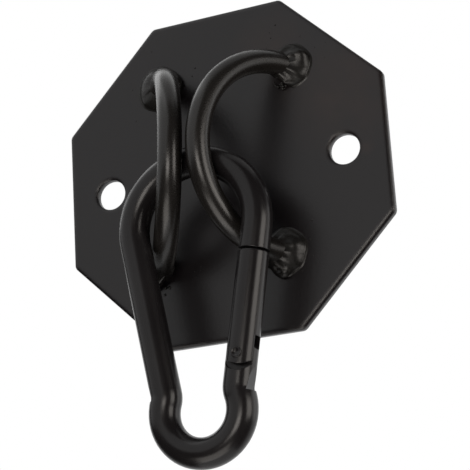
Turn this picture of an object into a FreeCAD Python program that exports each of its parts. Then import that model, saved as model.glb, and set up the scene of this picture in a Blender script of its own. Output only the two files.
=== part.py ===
import FreeCAD, Part
import math
import os

# Wall bracket for a hammock: an octagonal steel plate with two bent rods welded on, and a
# pear-shaped spring snap hook threaded behind both rods. Millimetres and degrees.
# X runs along the wall, -Y out of it, +Z up. The plate's back face is centred on the origin.

# Base plate
PLATE_ACROSS_FLATS = 115.0
PLATE_THICKNESS = 3.0
PLATE_CORNER_RADIUS = 2.5
PLATE_FRONT_ROUNDING = 0.9
PLATE_BACK_ROUNDING = 0.4
BOLT_HOLE_DIAMETER = 10.5
BOLT_HOLE_SPACING = 85.0
BOLT_HOLE_ROUNDING = 0.5

# Bent hook rods: straight feet, a half-round bend, and a lean towards the plate's middle.
# Each is welded on by hand, a few degrees off upright, where it just clears the snap hook, and
# leans so far that the two crowns nearly meet.
ROD_DIAMETER = 8.0
ROD_BEND_RADIUS = 32.0
ROD_FOOT_LENGTH = 3.0
LEFT_ROD_Z = 2.5
LEFT_ROD_TURN = 3.0
RIGHT_ROD_Z = 0.9
RIGHT_ROD_TURN = 5.5

# Fillet welds round the rod feet
WELD_LEG = 4.3
WELD_INNER_LEG = 1.9
WELD_HEIGHT = 5.2
WELD_FULLNESS = 1.6
WELD_SINK = 0.3
WELD_STEPS = 3

# Snap hook: bent wire with a wide bow at the top, a narrow bow below and tapering legs
WIRE_DIAMETER = 10.0
TOP_BOW_RADIUS = 21.5
LOWER_BOW_RADIUS = 13.15
BOW_SPACING = 59.9
NECK_INSET = 2.154
NECK_BEND_RADIUS = 6.0
LEDGE_DEPTH = 1.0
LEDGE_RUN_OUT = 7.5
LEDGE_PAST_NECK = 1.6
HOOK_TURN = 0.6
HOOK_CENTRE_X = -2.9
HOOK_BELOW_RODS = 0.39

# Gate: lengths along the right leg, counted from the rivet
RIVET_BELOW_BOW = 40.9
RIVET_DIAMETER = 3.0
RIVET_PROUD = 0.15
RIVET_EDGE = 0.4
GATE_TOP = 32.8
GATE_END = 3.4
GATE_END_RADIUS = 8.0
GATE_EDGE = 0.5
HINGE_SLOT_TOP = 6.0
TONGUE_THICKNESS = 4.0
HINGE_POCKET_RADIUS = 5.4
GATE_BORE_DIAMETER = 6.0
GATE_BORE_TOP = 27.0
GATE_OPEN_ANGLE = 25.0

# T-shaped latch on the gate and its keyway in the nose
LATCH_STEM_WIDTH = 2.8
LATCH_HEAD_WIDTH = 6.0
LATCH_STEM_LENGTH = 2.0
LATCH_HEAD_LENGTH = 1.8
LATCH_BACK = 1.6

# Spring and plunger inside the gate
PLUNGER_TIP_DIAMETER = 3.6
PLUNGER_HEAD_LENGTH = 4.6
PLUNGER_LIFT = 0.8
CAM_RADIUS = 4.8
CAM_DWELL_ANGLE = 12.0
SPRING_WIRE = 0.7
SPRING_TURNS = 7

# Clearances
ROD_SEAT_GAP = 0.45
CROWN_CLEARANCE = 1.05
CROWN_GAP = 1.7
GATE_GAP = 0.6
LATCH_CLEARANCE = 0.3
LATCH_HEAD_CLEARANCE = 0.6
TONGUE_CLEARANCE = 0.1
RIVET_CLEARANCE = 0.05
CAM_CLEARANCE = 0.4
BORE_CLEARANCE = 0.3
SPRING_CLEARANCE = 0.05

UP = FreeCAD.Vector(0, 0, 1)
ACROSS = FreeCAD.Vector(0, 1, 0)
ORIGIN = FreeCAD.Vector(0, 0, 0)
ROD_RADIUS = ROD_DIAMETER / 2
WIRE_RADIUS = WIRE_DIAMETER / 2
LATCH_HEAD_BOTTOM = GATE_TOP + LATCH_STEM_LENGTH
LATCH_HEAD_TOP = LATCH_HEAD_BOTTOM + LATCH_HEAD_LENGTH
TURN = math.radians(HOOK_TURN)
# The legs run tangent to the top bow and a little inside the lower bow
TAPER = math.asin((TOP_BOW_RADIUS - LOWER_BOW_RADIUS + NECK_INSET) / BOW_SPACING)
# Longer than any cutting tool needs to be to pass right through the wire
REACH = 3 * WIRE_DIAMETER
# How closely a rod's place is found, and the leans tried for it
SEAT_PRECISION = ROD_SEAT_GAP / 1000
LEAN_PRECISION = math.radians(0.001)
LEAST_LEAN = math.radians(3)
MOST_LEAN = math.radians(55)


def base_plate():
    """Regular octagon with flats at the sides, rounded corners, soft edges and two bolt holes."""
    corner_distance = PLATE_ACROSS_FLATS / 2 / math.cos(math.pi / 8)
    corners = []
    for step in range(9):
        angle = math.pi / 8 + step * math.pi / 4
        corners.append(FreeCAD.Vector(corner_distance * math.cos(angle), 0, corner_distance * math.sin(angle)))
    outline = Part.Face(Part.makePolygon(corners))
    plate = outline.extrude(FreeCAD.Vector(0, -PLATE_THICKNESS, 0))
    plate = plate.makeFillet(PLATE_CORNER_RADIUS, [e for e in plate.Edges if is_through_edge(e)])
    for side in (-1, 1):
        start = FreeCAD.Vector(side * BOLT_HOLE_SPACING / 2, -2 * PLATE_THICKNESS, 0)
        plate = plate.cut(Part.makeCylinder(BOLT_HOLE_DIAMETER / 2, 3 * PLATE_THICKNESS, start, ACROSS))
    front, back, holes = [], [], []
    for edge in plate.Edges:
        if is_through_edge(edge):
            continue
        if edge.BoundBox.XLength <= BOLT_HOLE_DIAMETER + 0.1 and edge.isClosed():
            holes.append(edge)
        elif edge.BoundBox.YMax < -PLATE_THICKNESS / 2:
            front.append(edge)
        else:
            back.append(edge)
    plate = plate.makeFillet(PLATE_FRONT_ROUNDING, front)
    plate = plate.makeFillet(PLATE_BACK_ROUNDING, matching_edges(plate, back))
    return plate.makeFillet(BOLT_HOLE_ROUNDING, matching_edges(plate, holes))


def is_through_edge(edge):
    """True for an edge that runs from the plate's front face to its back face."""
    return edge.BoundBox.YLength > PLATE_THICKNESS / 2


def matching_edges(shape, wanted):
    """The shape's edges that lie where the wanted edges lie."""
    found = []
    for edge in shape.Edges:
        for other in wanted:
            if edge.CenterOfMass.distanceToPoint(other.CenterOfMass) < 0.01 and abs(edge.Length - other.Length) < 0.01:
                found.append(edge)
                break
    return found


def bent_bar(radius, path):
    """Round bar along straight runs and tangent arcs, each given as a curve."""
    pieces = []
    for curve in path:
        edge = curve.toShape()
        first, last = edge.FirstParameter, edge.LastParameter
        disc = Part.Face(Part.Wire(Part.makeCircle(radius, edge.valueAt(first), edge.tangentAt(first))))
        if isinstance(edge.Curve, Part.Circle):
            pieces.append(disc.revolve(edge.Curve.Center, edge.Curve.Axis, math.degrees(last - first)))
        else:
            pieces.append(disc.extrude(edge.valueAt(last) - edge.valueAt(first)))
    return pieces[0].multiFuse(pieces[1:]).removeSplitter()


def foot_directions(side):
    """Unit vectors across and along the line of one rod's two feet."""
    turn = math.radians(LEFT_ROD_TURN if side < 0 else RIGHT_ROD_TURN)
    across = FreeCAD.Vector(math.cos(turn), 0, -math.sin(turn))
    along = FreeCAD.Vector(math.sin(turn), 0, math.cos(turn))
    return across, along


def rod_point(side, lean, x, height, along_feet):
    """Point in the leaning plane of a rod that stands at x, at a height measured along that plane."""
    across, along = foot_directions(side)
    foot_middle = FreeCAD.Vector(x, -PLATE_THICKNESS, LEFT_ROD_Z if side < 0 else RIGHT_ROD_Z)
    lean_in = across * (-side * height * math.sin(lean))
    return foot_middle + lean_in + ACROSS * (-height * math.cos(lean)) + along * along_feet


def rod_bend(side, lean, x):
    """The half circle that the middle of a rod follows when it stands at x."""
    upper = rod_point(side, lean, x, ROD_FOOT_LENGTH, ROD_BEND_RADIUS)
    crown = rod_point(side, lean, x, ROD_FOOT_LENGTH + ROD_BEND_RADIUS, 0)
    lower = rod_point(side, lean, x, ROD_FOOT_LENGTH, -ROD_BEND_RADIUS)
    return Part.Arc(upper, crown, lower)


def hook_place(lean):
    """Centre of the hook's top bow: behind the crowns, round where the rods pass through its plane."""
    crown_height = (ROD_FOOT_LENGTH + ROD_BEND_RADIUS) * math.cos(lean)
    stand_off = crown_height - ROD_RADIUS - WIRE_RADIUS - CROWN_CLEARANCE
    crossing_height = stand_off / math.cos(lean) - ROD_FOOT_LENGTH
    crossing_drop = math.sqrt(ROD_BEND_RADIUS ** 2 - crossing_height ** 2)
    z = (LEFT_ROD_Z + RIGHT_ROD_Z) / 2 - crossing_drop - HOOK_BELOW_RODS
    return FreeCAD.Vector(HOOK_CENTRE_X, -PLATE_THICKNESS - stand_off, z)


def rod_seat(side, lean):
    """Where a rod stands along the wall: as far out as the seat gap to the snap hook allows."""
    place = hook_place(lean)
    eye = Part.Wire([curve.toShape() for curve in upper_hook_line()])
    eye.translate(place)
    wanted = ROD_RADIUS + WIRE_RADIUS + ROD_SEAT_GAP
    inner = (-PLATE_THICKNESS - place.y) * math.tan(lean)
    outer = inner + TOP_BOW_RADIUS
    while outer - inner > SEAT_PRECISION:
        middle = (inner + outer) / 2
        if rod_bend(side, lean, place.x + side * middle).toShape().distToShape(eye)[0] > wanted:
            inner = middle
        else:
            outer = middle
    return place.x + side * inner


def rod_lean():
    """The lean at which the crowns of the two seated rods come as near as the crown gap."""
    upright, leaning = LEAST_LEAN, MOST_LEAN
    while leaning - upright > LEAN_PRECISION:
        lean = (upright + leaning) / 2
        left, right = (rod_bend(side, lean, rod_seat(side, lean)).toShape() for side in (-1, 1))
        crossed = left.valueAt(left.LastParameter / 2).x > right.valueAt(right.LastParameter / 2).x
        if not crossed and left.distToShape(right)[0] > ROD_DIAMETER + CROWN_GAP:
            upright = lean
        else:
            leaning = lean
    return upright


def hook_rod(side, lean, x):
    """Round bar bent to a half circle, with both feet cut flush to the plate's face."""
    sunk = -ROD_DIAMETER
    bend = rod_bend(side, lean, x)
    upper, lower = bend.StartPoint, bend.EndPoint
    rod = bent_bar(ROD_RADIUS, [
        Part.LineSegment(rod_point(side, lean, x, sunk, ROD_BEND_RADIUS), upper),
        bend,
        Part.LineSegment(lower, rod_point(side, lean, x, sunk, -ROD_BEND_RADIUS)),
    ])
    size = 4 * ROD_BEND_RADIUS
    wall_side = Part.makeBox(size, size, size, FreeCAD.Vector(-size / 2, -PLATE_THICKNESS, -size / 2))
    return rod.cut(wall_side)


def weld_section(side, lean, x, level, height, outer, inner):
    """Oval outline round a leaning rod foot, parallel to the plate and fuller on the outer side."""
    across, along = foot_directions(side)
    centre = rod_point(side, lean, x, height / math.cos(lean), level * ROD_BEND_RADIUS)
    centre = centre + across * (side * (outer - inner) / 2)
    to_side = across * (side * (ROD_RADIUS / math.cos(lean) + (outer + inner) / 2))
    to_end = along * (ROD_RADIUS + outer)
    oval = FreeCAD.Matrix(to_side, to_end, ACROSS, centre)
    return Part.Wire(Part.makeCircle(1).transformGeometry(oval).Edges)


def foot_weld(side, lean, x, level, rod):
    """Convex fillet bead between one rod foot and the plate."""
    sections = []
    for step in range(WELD_STEPS + 1):
        share = step / WELD_STEPS
        fall = 1 - share ** WELD_FULLNESS
        outer = (WELD_LEG + WELD_SINK) * fall - WELD_SINK
        inner = (WELD_INNER_LEG + WELD_SINK) * fall - WELD_SINK
        sections.append(weld_section(side, lean, x, level, share * WELD_HEIGHT, outer, inner))
    bead = Part.makeLoft(sections, True, False)
    return bead.cut(rod)


def hook_point(u, w):
    """Point in the snap hook's plane, from the centre of its top bow, where it is built."""
    x = u * math.cos(TURN) + w * math.sin(TURN)
    z = w * math.cos(TURN) - u * math.sin(TURN)
    return FreeCAD.Vector(x, 0, z)


def leg_point(side, distance):
    """Point on a leg's centre line, at a distance below its tangent point on the top bow."""
    u = TOP_BOW_RADIUS * math.cos(TAPER) - distance * math.sin(TAPER)
    return hook_point(side * u, -TOP_BOW_RADIUS * math.sin(TAPER) - distance * math.cos(TAPER))


def neck(side):
    """Reverse bend from a leg into the lower bow: leg distance, arc middle, end on the bow."""
    bow_centre = hook_point(0, -BOW_SPACING)
    outward = hook_point(side * math.cos(TAPER), -math.sin(TAPER)) - hook_point(0, 0)
    down = leg_point(side, 1) - leg_point(side, 0)
    start = leg_point(side, 0) + outward * NECK_BEND_RADIUS - bow_centre
    along = start.dot(down)
    reach = LOWER_BOW_RADIUS + NECK_BEND_RADIUS
    distance = -along - math.sqrt(along ** 2 - start.dot(start) + reach ** 2)
    bend_centre = leg_point(side, distance) + outward * NECK_BEND_RADIUS
    to_bend = bend_centre - bow_centre
    on_bow = bow_centre + to_bend * (LOWER_BOW_RADIUS / reach)
    middle = outward * -1 - to_bend * (1 / reach)
    middle.normalize()
    return distance, bend_centre + middle * NECK_BEND_RADIUS, on_bow


def in_gate_frame(shape):
    """Moves a shape built round the gate's axis (rivet at the origin, X outwards) into place."""
    shape = shape.copy()
    shape.rotate(ORIGIN, ACROSS, math.degrees(TAPER + TURN))
    shape.translate(leg_point(1, RIVET_BELOW_BOW))
    return shape


def block(x_range, y_half, z_range):
    """Box centred across the wire."""
    size = (x_range[1] - x_range[0], 2 * y_half, z_range[1] - z_range[0])
    return Part.makeBox(*size, FreeCAD.Vector(x_range[0], -y_half, z_range[0]))


def cross_cylinder(radius, half_length, x=0, z=0):
    """Cylinder across the wire, parallel to the rivet."""
    return Part.makeCylinder(radius, 2 * half_length, FreeCAD.Vector(x, -half_length, z), ACROSS)


def upper_hook_line():
    """Middle of the wire from the nose over the top bow and down the left leg."""
    nose_distance = RIVET_BELOW_BOW - GATE_TOP - GATE_GAP
    right_top, left_top = leg_point(1, 0), leg_point(-1, 0)
    return [
        Part.LineSegment(leg_point(1, nose_distance), right_top),
        Part.Arc(right_top, hook_point(0, TOP_BOW_RADIUS), left_top),
        Part.LineSegment(left_top, leg_point(-1, neck(-1)[0])),
    ]


def hook_wire():
    """The bent wire of the snap hook, from the nose round both bows to the hinge tongue."""
    tongue_distance = RIVET_BELOW_BOW - HINGE_SLOT_TOP
    left_distance, left_bend, left_bow = neck(-1)
    right_distance, right_bend, right_bow = neck(1)
    left_neck, right_neck = leg_point(-1, left_distance), leg_point(1, right_distance)
    return bent_bar(WIRE_RADIUS, upper_hook_line() + [
        Part.Arc(left_neck, left_bend, left_bow),
        Part.Arc(left_bow, hook_point(0, -BOW_SPACING - LOWER_BOW_RADIUS), right_bow),
        Part.Arc(right_bow, right_bend, right_neck),
        Part.LineSegment(right_neck, leg_point(1, tongue_distance)),
    ])


def ledge_cut(neck_distance):
    """Shallow pressed flat on the outer side of the right leg, ending at a sharp ledge."""
    press_radius = LEDGE_RUN_OUT ** 2 / (2 * LEDGE_DEPTH)
    ledge_z = RIVET_BELOW_BOW - neck_distance - LEDGE_PAST_NECK
    press_x = WIRE_RADIUS - LEDGE_DEPTH + press_radius
    press = cross_cylinder(press_radius, WIRE_DIAMETER, press_x, ledge_z)
    above = block((0, REACH), 2 * WIRE_DIAMETER, (ledge_z, ledge_z + REACH))
    return in_gate_frame(press.common(above))


def keyway():
    """T-shaped slot in the nose, open towards the inside of the hook."""
    back = LATCH_BACK + LATCH_CLEARANCE
    stem_half = LATCH_STEM_WIDTH / 2 + LATCH_CLEARANCE
    head_half = LATCH_HEAD_WIDTH / 2 + LATCH_CLEARANCE
    head_bottom = LATCH_HEAD_BOTTOM - LATCH_HEAD_CLEARANCE
    head_top = LATCH_HEAD_TOP + LATCH_HEAD_CLEARANCE
    stem = block((-REACH, back), stem_half, (GATE_TOP, head_top))
    head = block((-REACH, back), head_half, (head_bottom, head_top))
    return stem.fuse(head)


def cam_profile():
    """Half-plane outline above the tongue: its radius grows as the gate opens inwards."""
    points = []
    steps = 5
    rise = math.radians(GATE_OPEN_ANGLE)
    for step in range(steps + 1):
        angle = rise * step / steps
        radius = CAM_RADIUS + PLUNGER_LIFT * step / steps
        points.append(FreeCAD.Vector(-radius * math.sin(angle), 0, radius * math.cos(angle)))
    flank = Part.BSplineCurve()
    flank.interpolate(points)
    dwell_radius = CAM_RADIUS + PLUNGER_LIFT
    dwell_angle = rise + math.radians(CAM_DWELL_ANGLE)
    dwell_mid = (rise + dwell_angle) / 2
    dwell_end = FreeCAD.Vector(-dwell_radius * math.sin(dwell_angle), 0, dwell_radius * math.cos(dwell_angle))
    dwell_middle = FreeCAD.Vector(-dwell_radius * math.sin(dwell_mid), 0, dwell_radius * math.cos(dwell_mid))
    inner = FreeCAD.Vector(-REACH, 0, dwell_end.z - (REACH + dwell_end.x))
    outer_angle = math.pi / 4
    outer_start = FreeCAD.Vector(CAM_RADIUS * math.sin(outer_angle), 0, CAM_RADIUS * math.cos(outer_angle))
    outer_middle = FreeCAD.Vector(CAM_RADIUS * math.sin(outer_angle / 2), 0, CAM_RADIUS * math.cos(outer_angle / 2))
    outer = FreeCAD.Vector(REACH, 0, outer_start.z - (REACH - outer_start.x))
    outline = Part.Wire([
        Part.LineSegment(inner, dwell_end).toShape(),
        Part.Arc(dwell_end, dwell_middle, points[-1]).toShape(),
        flank.toShape(),
        Part.Arc(points[0], outer_middle, outer_start).toShape(),
        Part.LineSegment(outer_start, outer).toShape(),
        Part.LineSegment(outer, FreeCAD.Vector(REACH, 0, REACH)).toShape(),
        Part.LineSegment(FreeCAD.Vector(REACH, 0, REACH), FreeCAD.Vector(-REACH, 0, REACH)).toShape(),
        Part.LineSegment(FreeCAD.Vector(-REACH, 0, REACH), inner).toShape(),
    ])
    return Part.Face(outline)


def hinge_cut():
    """What is taken off the wire's lower right end to leave the hinge tongue."""
    above = cam_profile().extrude(ACROSS * WIRE_DIAMETER)
    above.translate(ACROSS * -WIRE_RADIUS)
    above = above.common(block((-WIRE_DIAMETER, WIRE_DIAMETER), WIRE_DIAMETER, (0, GATE_TOP / 2)))
    pocket = cross_cylinder(HINGE_POCKET_RADIUS, WIRE_DIAMETER)
    pocket = pocket.fuse(block((-WIRE_DIAMETER, WIRE_DIAMETER), WIRE_DIAMETER, (0, GATE_TOP / 2)))
    tongue = block((-REACH, REACH), TONGUE_THICKNESS / 2, (-REACH, REACH))
    rivet_hole = cross_cylinder(RIVET_DIAMETER / 2 + RIVET_CLEARANCE, WIRE_DIAMETER)
    return above.fuse(pocket.cut(tongue)).fuse(rivet_hole)


def carabiner_body():
    """Bent wire with pressed ledges, a keyway in the nose and a flat hinge tongue."""
    body = hook_wire()
    right_ledge = ledge_cut(neck(1)[0])
    left_ledge = right_ledge.mirror(hook_point(0, 0), hook_point(1, 0) - hook_point(0, 0))
    body = body.cut(right_ledge).cut(left_ledge)
    body = body.cut(in_gate_frame(keyway()))
    return body.cut(in_gate_frame(hinge_cut()))


def carabiner_gate():
    """Round gate with a slotted hinge end, a spring bore and the T-shaped latch."""
    gate = Part.makeCylinder(WIRE_RADIUS, GATE_TOP + GATE_END, UP * -GATE_END)
    top_rim = [e for e in gate.Edges if e.CenterOfMass.z > GATE_TOP - GATE_EDGE and e.isClosed()]
    gate = gate.makeFillet(GATE_EDGE, top_rim)
    end_z = GATE_END_RADIUS - GATE_END
    rounded = cross_cylinder(GATE_END_RADIUS, WIRE_DIAMETER, 0, end_z)
    rounded = rounded.fuse(block((-REACH, REACH), WIRE_DIAMETER, (end_z, 2 * GATE_TOP)))
    gate = gate.common(rounded)
    slot_half = TONGUE_THICKNESS / 2 + TONGUE_CLEARANCE
    gate = gate.cut(block((-REACH, REACH), slot_half, (-REACH, HINGE_SLOT_TOP)))
    bore_length = GATE_BORE_TOP - HINGE_SLOT_TOP
    gate = gate.cut(Part.makeCylinder(GATE_BORE_DIAMETER / 2, bore_length, UP * HINGE_SLOT_TOP))
    gate = gate.cut(cross_cylinder(RIVET_DIAMETER / 2, WIRE_DIAMETER))
    stem = block((-WIRE_RADIUS, LATCH_BACK), LATCH_STEM_WIDTH / 2, (GATE_BORE_TOP + GATE_EDGE, LATCH_HEAD_TOP))
    head = block((-WIRE_RADIUS, LATCH_BACK), LATCH_HEAD_WIDTH / 2, (LATCH_HEAD_BOTTOM, LATCH_HEAD_TOP))
    latch = stem.fuse(head)
    latch = latch.common(Part.makeCylinder(WIRE_RADIUS - LATCH_CLEARANCE, LATCH_HEAD_TOP, ORIGIN))
    return in_gate_frame(gate.fuse(latch).removeSplitter())


def gate_rivet():
    """Hinge rivet with softly rounded ends, a touch proud of the gate on both sides."""
    rivet = cross_cylinder(RIVET_DIAMETER / 2, WIRE_RADIUS + RIVET_PROUD)
    rivet = rivet.makeFillet(RIVET_EDGE, [e for e in rivet.Edges if e.isClosed()])
    return in_gate_frame(rivet)


def gate_plunger():
    """Plunger in the gate's bore, with a domed tip on the tongue's cam."""
    tip_radius = PLUNGER_TIP_DIAMETER / 2
    head_radius = GATE_BORE_DIAMETER / 2 - BORE_CLEARANCE
    tip_z = CAM_RADIUS + CAM_CLEARANCE
    shoulder_z = tip_z + tip_radius
    top_z = shoulder_z + PLUNGER_HEAD_LENGTH
    tip_middle = tip_radius * (1 - math.cos(math.pi / 4))
    dome = Part.Arc(
        FreeCAD.Vector(0, 0, tip_z),
        FreeCAD.Vector(tip_radius * math.sin(math.pi / 4), 0, tip_z + tip_middle),
        FreeCAD.Vector(tip_radius, 0, shoulder_z),
    )
    corners = [
        FreeCAD.Vector(tip_radius, 0, shoulder_z),
        FreeCAD.Vector(head_radius, 0, shoulder_z),
        FreeCAD.Vector(head_radius, 0, top_z),
        FreeCAD.Vector(0, 0, top_z),
        FreeCAD.Vector(0, 0, tip_z),
    ]
    outline = Part.Wire([dome.toShape()] + Part.makePolygon(corners).Edges)
    plunger = Part.Face(outline).revolve(ORIGIN, UP, 360)
    return in_gate_frame(plunger)


def gate_spring():
    """Compression spring between the plunger and the end of the gate's bore."""
    plunger_top = CAM_RADIUS + CAM_CLEARANCE + PLUNGER_TIP_DIAMETER / 2 + PLUNGER_HEAD_LENGTH
    low = plunger_top + SPRING_CLEARANCE + SPRING_WIRE / 2
    high = GATE_BORE_TOP - SPRING_CLEARANCE - SPRING_WIRE / 2
    coil_radius = GATE_BORE_DIAMETER / 2 - BORE_CLEARANCE - SPRING_WIRE / 2
    pitch = (high - low) / SPRING_TURNS
    helix = Part.makeHelix(pitch, high - low, coil_radius)
    helix.translate(UP * low)
    start = FreeCAD.Vector(coil_radius, 0, low)
    direction = FreeCAD.Vector(0, 2 * math.pi * coil_radius, pitch)
    section = Part.Wire(Part.makeCircle(SPRING_WIRE / 2, start, direction))
    spring = Part.Wire(helix).makePipeShell([section], True, True)
    return in_gate_frame(spring)


os.makedirs("parts", exist_ok=True)
lean = rod_lean()
place = hook_place(lean)
left_x, right_x = rod_seat(-1, lean), rod_seat(1, lean)
left_rod, right_rod = hook_rod(-1, lean, left_x), hook_rod(1, lean, right_x)
nodes = {
    "base_plate": base_plate(),
    "left_hook_rod": left_rod,
    "right_hook_rod": right_rod,
    "upper_left_weld": foot_weld(-1, lean, left_x, 1, left_rod),
    "lower_left_weld": foot_weld(-1, lean, left_x, -1, left_rod),
    "upper_right_weld": foot_weld(1, lean, right_x, 1, right_rod),
    "lower_right_weld": foot_weld(1, lean, right_x, -1, right_rod),
}
hook_nodes = {
    "carabiner_body": carabiner_body(),
    "carabiner_gate": carabiner_gate(),
    "gate_rivet": gate_rivet(),
    "gate_plunger": gate_plunger(),
    "gate_spring": gate_spring(),
}
for name, shape in hook_nodes.items():
    nodes[name] = shape.translated(place)
print("rod lean", math.degrees(lean), "hook at", place)
print("gate rivet at", leg_point(1, RIVET_BELOW_BOW) + place, "gate tilt", math.degrees(TAPER + TURN))
for name, shape in nodes.items():
    print(name, "solids", len(shape.Solids), "valid", shape.isValid(), "volume", round(shape.Volume, 1))
    shape.exportStep(f"parts/{name}.step")
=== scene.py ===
import math
import random

import bmesh
import bpy
from mathutils import Matrix, Vector, noise


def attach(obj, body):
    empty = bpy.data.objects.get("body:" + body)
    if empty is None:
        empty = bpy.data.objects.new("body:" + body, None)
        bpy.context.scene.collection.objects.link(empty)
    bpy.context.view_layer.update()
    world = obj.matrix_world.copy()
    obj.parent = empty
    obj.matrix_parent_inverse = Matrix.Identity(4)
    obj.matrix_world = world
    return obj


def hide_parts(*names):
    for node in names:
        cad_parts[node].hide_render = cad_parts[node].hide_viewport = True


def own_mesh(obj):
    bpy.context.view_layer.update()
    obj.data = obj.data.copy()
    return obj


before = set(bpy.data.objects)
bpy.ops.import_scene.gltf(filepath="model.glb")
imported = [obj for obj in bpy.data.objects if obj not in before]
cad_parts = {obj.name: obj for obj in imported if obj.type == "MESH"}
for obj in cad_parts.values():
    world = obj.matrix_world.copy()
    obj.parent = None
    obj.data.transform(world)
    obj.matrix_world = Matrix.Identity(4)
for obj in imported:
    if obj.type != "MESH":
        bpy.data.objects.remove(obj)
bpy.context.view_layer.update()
scene = bpy.context.scene
scene.view_settings.view_transform = "Standard"

# Base plate: an octagon sheared from 3 mm steel sheet, with rolled edges and two punched bolt holes.
# It is sprayed with satin black powder coat, tinted brown in a few soft patches.


def coat_group():
    """Powder coat surface: fine orange peel, dust grains and slow drifts of tone."""
    group = bpy.data.node_groups.new("powder_coat", "ShaderNodeTree")
    for socket in ("Peel Scale", "Grain Scale", "Drift Scale"):
        group.interface.new_socket(socket, in_out="INPUT", socket_type="NodeSocketFloat")
    for socket in ("Height", "Grain", "Drift"):
        group.interface.new_socket(socket, in_out="OUTPUT", socket_type="NodeSocketFloat")
    nodes, links = group.nodes, group.links
    inputs = nodes.new("NodeGroupInput")
    outputs = nodes.new("NodeGroupOutput")
    place = nodes.new("ShaderNodeTexCoord")
    peel = nodes.new("ShaderNodeTexNoise")
    peel.inputs["Detail"].default_value = 2.0
    grain = nodes.new("ShaderNodeTexNoise")
    grain.inputs["Detail"].default_value = 1.0
    drift = nodes.new("ShaderNodeTexNoise")
    drift.inputs["Detail"].default_value = 3.0
    for texture, scale in ((peel, "Peel Scale"), (grain, "Grain Scale"), (drift, "Drift Scale")):
        links.new(place.outputs["Object"], texture.inputs["Vector"])
        links.new(inputs.outputs[scale], texture.inputs["Scale"])
    grain_share = nodes.new("ShaderNodeMath")
    grain_share.operation = "MULTIPLY"
    grain_share.inputs[1].default_value = 0.35
    links.new(grain.outputs["Fac"], grain_share.inputs[0])
    height = nodes.new("ShaderNodeMath")
    height.operation = "ADD"
    links.new(peel.outputs["Fac"], height.inputs[0])
    links.new(grain_share.outputs[0], height.inputs[1])
    links.new(height.outputs[0], outputs.inputs["Height"])
    links.new(grain.outputs["Fac"], outputs.inputs["Grain"])
    links.new(drift.outputs["Fac"], outputs.inputs["Drift"])
    return group


powder_coat = coat_group()


def coated_steel(name, dark, light, rough, shine, rounding, bump, scales):
    """Black coat on steel: the colour drifts from dark to light, and the grains vary the roughness
    between two values. The coat rounds every edge by the radius rounding. bump is (strength, depth),
    and scales are those of peel, grain and drift."""
    material = bpy.data.materials.new(name)
    material.use_nodes = True
    nodes, links = material.node_tree.nodes, material.node_tree.links
    shader = nodes["Principled BSDF"]
    shader.inputs["Specular IOR Level"].default_value = shine
    coat = nodes.new("ShaderNodeGroup")
    coat.node_tree = powder_coat
    for socket, scale in zip(("Peel Scale", "Grain Scale", "Drift Scale"), scales):
        coat.inputs[socket].default_value = scale
    tone = nodes.new("ShaderNodeValToRGB")
    tone.color_ramp.elements[0].position = 0.35
    tone.color_ramp.elements[0].color = (*dark, 1)
    tone.color_ramp.elements[1].position = 0.65
    tone.color_ramp.elements[1].color = (*light, 1)
    links.new(coat.outputs["Drift"], tone.inputs["Fac"])
    links.new(tone.outputs["Color"], shader.inputs["Base Color"])
    gloss = nodes.new("ShaderNodeMapRange")
    gloss.inputs["From Min"].default_value = 0.3
    gloss.inputs["From Max"].default_value = 0.7
    gloss.inputs["To Min"].default_value = rough[0]
    gloss.inputs["To Max"].default_value = rough[1]
    links.new(coat.outputs["Grain"], gloss.inputs["Value"])
    links.new(gloss.outputs["Result"], shader.inputs["Roughness"])
    rounded = nodes.new("ShaderNodeBevel")
    rounded.samples = 8
    rounded.inputs["Radius"].default_value = rounding
    relief = nodes.new("ShaderNodeBump")
    relief.inputs["Strength"].default_value = bump[0]
    relief.inputs["Distance"].default_value = bump[1]
    links.new(coat.outputs["Height"], relief.inputs["Height"])
    links.new(rounded.outputs["Normal"], relief.inputs["Normal"])
    links.new(relief.outputs["Normal"], shader.inputs["Normal"])
    return material


def dress(node, material):
    """Gives a CAD node its finish."""
    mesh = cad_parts[node].data
    mesh.materials.clear()
    mesh.materials.append(material)


plate_face = -0.003
plate_black = coated_steel("plate_black", dark=(0.0026, 0.0014, 0.0020), light=(0.0036, 0.0023, 0.0030),
                           rough=(0.28, 0.34), shine=0.45, rounding=0.0022, bump=(0.20, 0.00012),
                           scales=(900, 2600, 26))
# Brown tint mixed into the plate's base colour in three soft patches, broken up by noise.
patch_brown = (0.0190, 0.0085, 0.0055, 1)
brown_patches = (  # (x, z, reach) on the plate's face: by the right hole's edge, above it, and high up
    (0.050, -0.0006, 0.0035),
    (0.043, 0.019, 0.024),
    (0.020, 0.040, 0.016),
)
plate_nodes, plate_links = plate_black.node_tree.nodes, plate_black.node_tree.links
plate_place = plate_nodes.new("ShaderNodeTexCoord")
patches_fade = None
for patch_x, patch_z, patch_reach in brown_patches:
    patch_place = plate_nodes.new("ShaderNodeMapping")
    patch_place.vector_type = "TEXTURE"
    patch_place.inputs["Location"].default_value = (patch_x, plate_face, patch_z)
    patch_place.inputs["Scale"].default_value = (patch_reach, patch_reach, patch_reach)
    plate_links.new(plate_place.outputs["Object"], patch_place.inputs["Vector"])
    patch_fade = plate_nodes.new("ShaderNodeTexGradient")
    patch_fade.gradient_type = "SPHERICAL"
    plate_links.new(patch_place.outputs["Vector"], patch_fade.inputs["Vector"])
    if patches_fade is None:
        patches_fade = patch_fade.outputs["Fac"]
    else:
        patch_both = plate_nodes.new("ShaderNodeMath")
        patch_both.operation = "MAXIMUM"
        plate_links.new(patches_fade, patch_both.inputs[0])
        plate_links.new(patch_fade.outputs["Fac"], patch_both.inputs[1])
        patches_fade = patch_both.outputs[0]
patch_noise = plate_nodes.new("ShaderNodeTexNoise")
patch_noise.inputs["Scale"].default_value = 120
plate_links.new(plate_place.outputs["Object"], patch_noise.inputs["Vector"])
brown_mask = plate_nodes.new("ShaderNodeMath")
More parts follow.
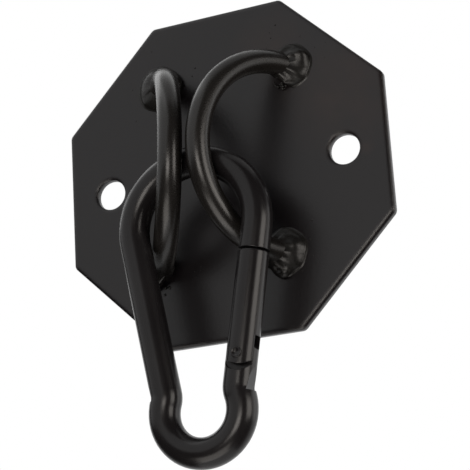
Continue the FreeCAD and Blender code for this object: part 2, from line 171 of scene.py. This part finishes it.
brown_mask.operation = "MULTIPLY"
plate_links.new(patches_fade, brown_mask.inputs[0])
plate_links.new(patch_noise.outputs["Fac"], brown_mask.inputs[1])
brown_mix = plate_nodes.new("ShaderNodeMix")
brown_mix.data_type = "RGBA"
brown_mix.inputs["B"].default_value = patch_brown
plate_links.new(brown_mask.outputs[0], brown_mix.inputs["Factor"])
plate_links.new(plate_nodes["Color Ramp"].outputs["Color"], brown_mix.inputs["A"])
plate_links.new(brown_mix.outputs["Result"], plate_nodes["Principled BSDF"].inputs["Base Color"])
dress("base_plate", plate_black)

# Hook rods: two lengths of 8 mm round bar, bent cold to a half circle and stood on the plate.
# Their coat is smoother than the plate's and shines along the bend.
rod_black = coated_steel("rod_black", dark=(0.0090, 0.0080, 0.0074), light=(0.0118, 0.0106, 0.0098),
                         rough=(0.27, 0.29), shine=0.40, rounding=0.0003, bump=(0.02, 0.00010),
                         scales=(600, 1800, 60))
dress("left_hook_rod", rod_black)
dress("right_hook_rod", rod_black)

# Weld beads: one run of hand-laid weld round each rod foot, lumpy and rippled under the coat.
# Each bead is drawn up ring by ring from the plate to the leaning rod, with a thin flared toe on the
# plate. Ripples, lumps and pits are then pushed out of its skin.
weld_black = coated_steel("weld_black", dark=(0.0085, 0.0080, 0.0076), light=(0.0125, 0.0118, 0.0110),
                          rough=(0.26, 0.34), shine=0.24, rounding=0.0002, bump=(0.06, 0.00020),
                          scales=(420, 1500, 140))
rod_radius = 0.004
rod_lean = math.radians(30.49)
left_turn, right_turn = math.radians(3), math.radians(5.5)
upper_left_foot, lower_left_foot = (-0.02176, 0.03446), (-0.02511, -0.02946)
upper_right_foot, lower_right_foot = (0.02486, 0.03275), (0.01873, -0.03095)
weld_rings, weld_segments = 48, 168
weld_height, weld_leg = 0.0040, 0.0039
weld_fullness = 2.8
weld_root = 0.0001  # how deep the bead starts in the plate
weld_sink = 0.0003  # how deep its top edge ends in the rod
weld_toe, weld_toe_share = 0.0009, 0.12
leg_wander, inner_leg_wander, height_wander = 0.0006, 0.0004, 0.14
ripple_rise, ripple_level = 0.00002, 0.6
coarse_rise, coarse_scale = 0.00012, 230
fine_rise, fine_scale = 0.00001, 800
lump_arm = 0.0075  # length that stands for one radian round the bead, or for its whole height


def bead_skin():
    """Closed tube of radius 1 and height 1, in rings."""
    skin = bmesh.new()
    bmesh.ops.create_circle(skin, cap_ends=True, segments=weld_segments, radius=1)
    edges = list(skin.edges)
    for step in range(weld_rings):
        grown = bmesh.ops.extrude_edge_only(skin, edges=edges)["geom"]
        edges = [part for part in grown if isinstance(part, bmesh.types.BMEdge)]
        bmesh.ops.translate(skin, vec=(0, 0, 1 / weld_rings),
                            verts=[part for part in grown if isinstance(part, bmesh.types.BMVert)])
    bmesh.ops.contextual_create(skin, geom=edges)
    bmesh.ops.recalc_face_normals(skin, faces=skin.faces)
    return skin


def add_piece(name, shape, material):
    """Turns a finished shape into a smooth-shaded object of the scene."""
    mesh = bpy.data.meshes.new(name)
    shape.to_mesh(mesh)
    shape.free()
    mesh.materials.append(material)
    for face in mesh.polygons:
        face.use_smooth = True
    piece = bpy.data.objects.new(name, mesh)
    scene.collection.objects.link(piece)
    return piece


def weld_bead(node, foot, side, turn, inner_leg, ripples, seed, lumps):
    """Bead round one rod foot. side is 1 where the rod leans left and -1 where it leans right.
    A lump is (angle, height share, spread, rise), and a pit has a negative rise."""
    across = Vector((math.cos(turn), 0, -math.sin(turn)))
    along = Vector((math.sin(turn), 0, math.cos(turn)))
    rod_way = Vector((0, -1, 0)) - across * side * math.tan(rod_lean)
    root = Vector((foot[0], plate_face + weld_root, foot[1]))
    shape = bead_skin()
    relief = {}
    for point in shape.verts:
        angle, share = math.atan2(point.co.y, point.co.x), point.co.z
        spot = Vector((point.co.x, point.co.y, seed))
        wander = noise.noise(spot * 1.7)
        fall = 1 - share ** weld_fullness
        flare = weld_toe * max(0, 1 - share / weld_toe_share) ** 2
        outer = (weld_leg + leg_wander * wander) * fall + flare - weld_sink
        inner = (inner_leg + inner_leg_wander * wander) * fall - weld_sink
        open_side = min(1, max(0, (side * math.cos(angle) + 0.45) / 0.6))
        spread_up = inner + (outer - inner) * open_side * open_side * (3 - 2 * open_side)
        height = share * weld_height * (1 + height_wander * noise.noise(spot * 2.3 + Vector((7, 0, 0))))
        middle = root + rod_way * height + across * side * (outer - inner) / 2
        reach = rod_radius / math.cos(rod_lean) + (outer + inner) / 2
        point.co = (middle + across * math.cos(angle) * reach
                    + along * math.sin(angle) * (rod_radius + spread_up))
        ripple = ripples * angle / 2 + 1.6 * share * share + 1.8 * noise.noise(spot * 3.1)
        bulge = ripple_rise * (abs(math.sin(ripple)) - ripple_level)
        bulge += coarse_rise * noise.noise(point.co * coarse_scale)
        bulge += fine_rise * noise.noise(point.co * fine_scale)
        for lump_angle, lump_share, spread, rise in lumps:
            gap = (angle - math.radians(lump_angle) + math.pi) % (2 * math.pi) - math.pi
            far = math.hypot(gap * lump_arm, (share - lump_share) * lump_arm) / spread
            bulge += rise * math.exp(-far * far)
        relief[point] = bulge * min(1, 6 * share) * min(1, 5 * (1 - share))
    shape.normal_update()
    for point, bulge in relief.items():
        point.co += point.normal * bulge
    bead = add_piece(node + "_bead", shape, weld_black)
    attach(bead, "bracket")
    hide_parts(node)


weld_bead("upper_left_weld", upper_left_foot, -1, left_turn, inner_leg=0.0036, ripples=27, seed=3.0, lumps=(
    (85, 0.25, 0.0022, 0.0004),
    (160, 0.35, 0.0018, 0.0001),
    (-140, 0.3, 0.0014, 0.0002),
))
weld_bead("lower_left_weld", lower_left_foot, -1, left_turn, inner_leg=0.0009, ripples=25, seed=11.0, lumps=(
    (-75, 0.2, 0.0010, 0.0004),
    (-105, 0.4, 0.0012, 0.0004),
    (-88, 0.45, 0.0006, -0.0005),
))
weld_bead("upper_right_weld", upper_right_foot, 1, right_turn, inner_leg=0.0011, ripples=29, seed=19.0, lumps=(
    (25, 0.55, 0.0026, 0.0014),
    (-122, 0.35, 0.0011, 0.0005),
    (-103, 0.2, 0.0010, 0.0006),
    (-84, 0.6, 0.0009, 0.0003),
    (-112, 0.5, 0.0006, -0.0005),
    (-92, 0.42, 0.0006, -0.0004),
))
weld_bead("lower_right_weld", lower_right_foot, 1, right_turn, inner_leg=0.0026, ripples=26, seed=27.0, lumps=(
    (-88, 0.22, 0.0030, 0.0013),
    (88, 0.25, 0.0025, 0.0006),
    (-70, 0.4, 0.0018, 0.0004),
    (-100, 0.35, 0.0013, 0.0003),
    (-86, 0.65, 0.0007, -0.0006),
    (15, 0.7, 0.0016, 0.0003),
))

# Weld spatter: drops of weld that froze on the plate round the beads and were coated with it.
# Flattened drops lie half sunk in the plate, rounder ones stick to the undersides of the right beads,
# and three clots lie below the lower left bead.
drops = random.Random(5)
drops_per_foot, drops_per_bead = 7, 14
foot_range, foot_drop_sizes = (0.0095, 0.0155), (0.00012, 0.00028)
bead_range, bead_drop_sizes = (0.0058, 0.0082), (0.00025, 0.00055)
bead_reach, bead_slope = 0.0088, 0.8
drop_flatness, drop_stretch = (0.5, 0.8), (0.8, 1.2)
drop_spots = [  # (x, z, radius) on the plate's face
    (0.02181, 0.04846, 0.00035),
    (-0.00846, 0.03948, 0.00030),
    (0.02850, -0.02848, 0.00040),
    (0.03040, 0.04243, 0.00025),
]
clots = (
    (-0.0236, -0.0362, 0.0007),
    (-0.0222, -0.0364, 0.0006),
    (-0.0239, -0.0386, 0.0005),
)
shape = bmesh.new()
for foot_x, foot_z in (upper_left_foot, lower_left_foot, upper_right_foot, lower_right_foot):
    for count in range(drops_per_foot):
        bearing, far = drops.uniform(0, 2 * math.pi), drops.uniform(*foot_range)
        drop_x, drop_z = foot_x + far * math.cos(bearing), foot_z + far * math.sin(bearing)
        drop_spots.append((drop_x, drop_z, drops.uniform(*foot_drop_sizes)))
for drop_x, drop_z, drop_size in drop_spots:
    place = Matrix.Translation((drop_x, plate_face, drop_z))
    place = place @ Matrix.Diagonal((1, drops.uniform(*drop_flatness), drops.uniform(*drop_stretch), 1))
    bmesh.ops.create_icosphere(shape, subdivisions=2, radius=drop_size, matrix=place)
for (foot_x, foot_z), first, last in ((upper_right_foot, -128, -92), (lower_right_foot, -112, -70)):
    for count in range(drops_per_bead):
        bearing, far = math.radians(drops.uniform(first, last)), drops.uniform(*bead_range)
        place = Matrix.Translation((foot_x + far * math.cos(bearing),
                                    plate_face - (bead_reach - far) * bead_slope,
                                    foot_z + far * math.sin(bearing)))
        drop_size = drops.uniform(*bead_drop_sizes)
        bmesh.ops.create_icosphere(shape, subdivisions=2, radius=drop_size, matrix=place)
for clot_x, clot_z, clot_size in clots:
    place = Matrix.Translation((clot_x, plate_face, clot_z))
    bmesh.ops.create_icosphere(shape, subdivisions=2, radius=clot_size, matrix=place)
spatter = add_piece("weld_spatter", shape, weld_black)
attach(spatter, "bracket")

# Snap hook: 10 mm wire bent to a pear, with a pressed ledge above the narrow bow on each leg.
# It is dipped in a smooth semi-gloss black.
hook_black = coated_steel("hook_black", dark=(0.0086, 0.0076, 0.0081), light=(0.0108, 0.0097, 0.0103),
                          rough=(0.22, 0.26), shine=0.28, rounding=0.0004, bump=(0.04, 0.00008),
                          scales=(450, 1800, 50))
dress("carabiner_body", hook_black)

# Gate: turned from the same bar, slotted over the wire's tongue and held there by a peened rivet.
# It is dipped together with the hook, so it has the same coat.
dress("carabiner_gate", hook_black)

# Hinge rivet: a 3 mm steel pin through the gate's fork, peened to a dished head at both ends.
# Half of its outline, (radius, distance from the middle), is mirrored and spun round the hinge axis.
rivet_place = Vector((0.0106328, -0.0231101, -0.0675768))
rivet_steps = 40
rivet_profile = ((0, 0.00490), (0.0005, 0.00493), (0.0009, 0.00514), (0.0013, 0.00538), (0.0016, 0.00541),
                 (0.00174, 0.00530), (0.00178, 0.00505), (0.00178, 0.0046), (0.0015, 0.0044))
rivet_line = rivet_profile + tuple((radius, -reach) for radius, reach in reversed(rivet_profile))
shape = bmesh.new()
points = [shape.verts.new((radius, -reach, 0)) for radius, reach in rivet_line]
edges = [shape.edges.new(pair) for pair in zip(points, points[1:])]
bmesh.ops.spin(shape, geom=points + edges, axis=(0, 1, 0), cent=(0, 0, 0), angle=2 * math.pi,
               steps=rivet_steps, use_merge=True)
bmesh.ops.remove_doubles(shape, verts=shape.verts, dist=1e-7)
bmesh.ops.recalc_face_normals(shape, faces=shape.faces)
bmesh.ops.translate(shape, vec=rivet_place, verts=shape.verts)
rivet = add_piece("peened_rivet", shape, hook_black)
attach(rivet, "gate")
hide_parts("gate_rivet")

# Plunger: turned steel pin in the gate's bore, seen only through the hinge slot.
# It is left bare, because a coat would jam it.
inner_steel = bpy.data.materials.new("inner_steel")
inner_steel.use_nodes = True
steel_nodes, steel_links = inner_steel.node_tree.nodes, inner_steel.node_tree.links
steel = steel_nodes["Principled BSDF"]
steel.inputs["Metallic"].default_value = 1.0
steel.inputs["Roughness"].default_value = 0.35
steel_place = steel_nodes.new("ShaderNodeTexCoord")
steel_mottle = steel_nodes.new("ShaderNodeTexNoise")
steel_mottle.inputs["Scale"].default_value = 1800
steel_tone = steel_nodes.new("ShaderNodeValToRGB")
steel_tone.color_ramp.elements[0].color = (0.30, 0.30, 0.29, 1)
steel_tone.color_ramp.elements[1].color = (0.52, 0.52, 0.51, 1)
steel_links.new(steel_place.outputs["Object"], steel_mottle.inputs["Vector"])
steel_links.new(steel_mottle.outputs["Fac"], steel_tone.inputs["Fac"])
steel_links.new(steel_tone.outputs["Color"], steel.inputs["Base Color"])
dress("gate_plunger", inner_steel)

# Closing spring: steel wire coiled in the gate's bore above the plunger.
# It sits at the bore's end and moves with the gate.
coil_low, coil_high, coil_radius, coil_wire = 0.0120, 0.0266, 0.00235, 0.00035
coil_turns, coil_steps, wire_segments = 7, 24, 10
gate_axis = Vector((0.1856593, 0, 0.9826142))
shape = bmesh.new()
wire_end = Matrix.Translation((coil_radius, 0, coil_low)) @ Matrix.Rotation(math.pi / 2, 4, "X")
bmesh.ops.create_circle(shape, cap_ends=True, segments=wire_segments, radius=coil_wire, matrix=wire_end)
coil_rise = (coil_high - coil_low) / (coil_turns * coil_steps)
grown = bmesh.ops.spin(shape, geom=list(shape.edges), cent=(0, 0, 0), axis=(0, 0, 1),
                       angle=coil_turns * 2 * math.pi, dvec=(0, 0, coil_rise),
                       steps=coil_turns * coil_steps)["geom_last"]
bmesh.ops.contextual_create(shape, geom=[part for part in grown if isinstance(part, bmesh.types.BMEdge)])
bmesh.ops.recalc_face_normals(shape, faces=shape.faces)
tilt = Vector((0, 0, 1)).rotation_difference(gate_axis).to_matrix().to_4x4()
bmesh.ops.transform(shape, matrix=Matrix.Translation(rivet_place) @ tilt, verts=shape.verts)
spring = add_piece("closing_spring", shape, inner_steel)
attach(spring, "gate")
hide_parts("gate_spring")
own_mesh(spring)

# Stage: a white floor far below the object, which hangs in front of a white sweep.
# The camera and reflections see it as plain white, and other light meets a matt pale grey.


def stage_white(name):
    """Matt pale grey that the camera and reflections see as plain white."""
    material = bpy.data.materials.new(name)
    material.use_nodes = True
    nodes, links = material.node_tree.nodes, material.node_tree.links
    matt = nodes["Principled BSDF"]
    matt.inputs["Base Color"].default_value = (0.8, 0.8, 0.8, 1)
    matt.inputs["Roughness"].default_value = 0.9
    path = nodes.new("ShaderNodeLightPath")
    mirrored = nodes.new("ShaderNodeMath")
    mirrored.operation = "MAXIMUM"
    links.new(path.outputs["Is Camera Ray"], mirrored.inputs[0])
    links.new(path.outputs["Is Glossy Ray"], mirrored.inputs[1])
    seen = nodes.new("ShaderNodeMath")
    seen.operation = "MAXIMUM"
    links.new(mirrored.outputs[0], seen.inputs[0])
    links.new(path.outputs["Is Transmission Ray"], seen.inputs[1])
    glow = nodes.new("ShaderNodeEmission")
    glow.inputs["Strength"].default_value = 1.0
    mix = nodes.new("ShaderNodeMixShader")
    links.new(seen.outputs[0], mix.inputs["Fac"])
    links.new(matt.outputs["BSDF"], mix.inputs[1])
    links.new(glow.outputs["Emission"], mix.inputs[2])
    links.new(mix.outputs["Shader"], nodes["Material Output"].inputs["Surface"])
    return material


floor_half, floor_level = 0.6, -1.2
shape = bmesh.new()
bmesh.ops.create_grid(shape, x_segments=1, y_segments=1, size=floor_half)
bmesh.ops.translate(shape, vec=(0, 0, floor_level), verts=shape.verts)
floor = add_piece("floor", shape, stage_white("stage_pale"))

# World: a white sweep, which the camera sees on every side and reflections see behind the object.
# A dim room is all that other light meets.
world = bpy.data.worlds.new("studio")
scene.world = world
world.use_nodes = True
sky_nodes, sky_links = world.node_tree.nodes, world.node_tree.links
room = sky_nodes["Background"]
room.inputs["Color"].default_value = (1, 1, 1, 1)
room.inputs["Strength"].default_value = 0.01
sweep = sky_nodes.new("ShaderNodeBackground")
sweep.inputs["Color"].default_value = (1, 1, 1, 1)
sweep.inputs["Strength"].default_value = 1.0
sky_place = sky_nodes.new("ShaderNodeTexCoord")
sky_axes = sky_nodes.new("ShaderNodeSeparateXYZ")
sky_links.new(sky_place.outputs["Generated"], sky_axes.inputs["Vector"])
behind = sky_nodes.new("ShaderNodeMapRange")
behind.interpolation_type = "SMOOTHSTEP"
behind.inputs["From Min"].default_value = 0.15
behind.inputs["From Max"].default_value = 0.65
sky_links.new(sky_axes.outputs["Y"], behind.inputs["Value"])
sky_path = sky_nodes.new("ShaderNodeLightPath")
mirrored = sky_nodes.new("ShaderNodeMath")
mirrored.operation = "MAXIMUM"
sky_links.new(sky_path.outputs["Is Glossy Ray"], mirrored.inputs[0])
sky_links.new(sky_path.outputs["Is Transmission Ray"], mirrored.inputs[1])
mirrored_sweep = sky_nodes.new("ShaderNodeMath")
mirrored_sweep.operation = "MULTIPLY"
sky_links.new(mirrored.outputs[0], mirrored_sweep.inputs[0])
sky_links.new(behind.outputs["Result"], mirrored_sweep.inputs[1])
sweep_seen = sky_nodes.new("ShaderNodeMath")
sweep_seen.operation = "MAXIMUM"
sky_links.new(sky_path.outputs["Is Camera Ray"], sweep_seen.inputs[0])
sky_links.new(mirrored_sweep.outputs[0], sweep_seen.inputs[1])
sky_mix = sky_nodes.new("ShaderNodeMixShader")
sky_links.new(sweep_seen.outputs[0], sky_mix.inputs["Fac"])
sky_links.new(room.outputs["Background"], sky_mix.inputs[1])
sky_links.new(sweep.outputs["Background"], sky_mix.inputs[2])
sky_links.new(sky_mix.outputs["Shader"], sky_nodes["World Output"].inputs["Surface"])

# Lamps: a big soft panel from the upper left, two more that carry it over the top and round to the
# back, and warm strips on the right, in front and below.
warm, half_warm = (1, 0.94, 0.88), (1, 0.97, 0.94)
lamp_target = Vector((0, -0.015, -0.02))


def soft_box(name, azimuth, elevation, size, power, colour=(1, 1, 1)):
    """Area lamp one metre away that faces the object. Azimuth 0 is in front, and 90 is on the right."""
    lamp = bpy.data.lights.new(name, "AREA")
    lamp.shape = "RECTANGLE"
    lamp.size, lamp.size_y = size
    lamp.energy = power
    lamp.color = colour
    box = bpy.data.objects.new(name, lamp)
    a, e = math.radians(azimuth), math.radians(elevation)
    out = Vector((math.sin(a) * math.cos(e), -math.cos(a) * math.cos(e), math.sin(e)))
    box.matrix_world = Matrix.Translation(lamp_target + out) @ out.to_track_quat("Z", "Y").to_matrix().to_4x4()
    scene.collection.objects.link(box)


soft_box("left_panel", -48, 35, (2.2, 1.35), 7.7)
soft_box("top_panel", -150, 80, (1.5, 1.4), 3.4)
soft_box("left_back", -115, 36, (0.65, 0.6), 0.9)
soft_box("right_strip", 72, 0, (0.58, 0.50), 4.2, warm)
soft_box("front_strip", 8, -7, (0.42, 0.30), 2.9, warm)
soft_box("low_strip", -8, -54, (0.75, 0.60), 4.0, warm)
soft_box("right_panel", 112, 3, (0.65, 0.65), 1.6, half_warm)

# Camera: a long lens half a metre away, a little below the plate and to its right.
# It is tilted a few degrees, as in the photo.
lens = bpy.data.cameras.new("camera")
lens.sensor_width = 36
lens.lens = 122.65
camera = bpy.data.objects.new("camera", lens)
eye = Vector((0.19353, -0.46964, -0.17533))
right = Vector((0.9167, 0.3949, -0.0597)).normalized()
view = Vector((-0.3626, 0.8856, 0.2903)).normalized()
up = right.cross(view).normalized()
right = view.cross(up)
camera.matrix_world = Matrix((
    (right.x, up.x, -view.x, eye.x),
    (right.y, up.y, -view.y, eye.y),
    (right.z, up.z, -view.z, eye.z),
    (0, 0, 0, 1),
))
scene.collection.objects.link(camera)
scene.camera = camera
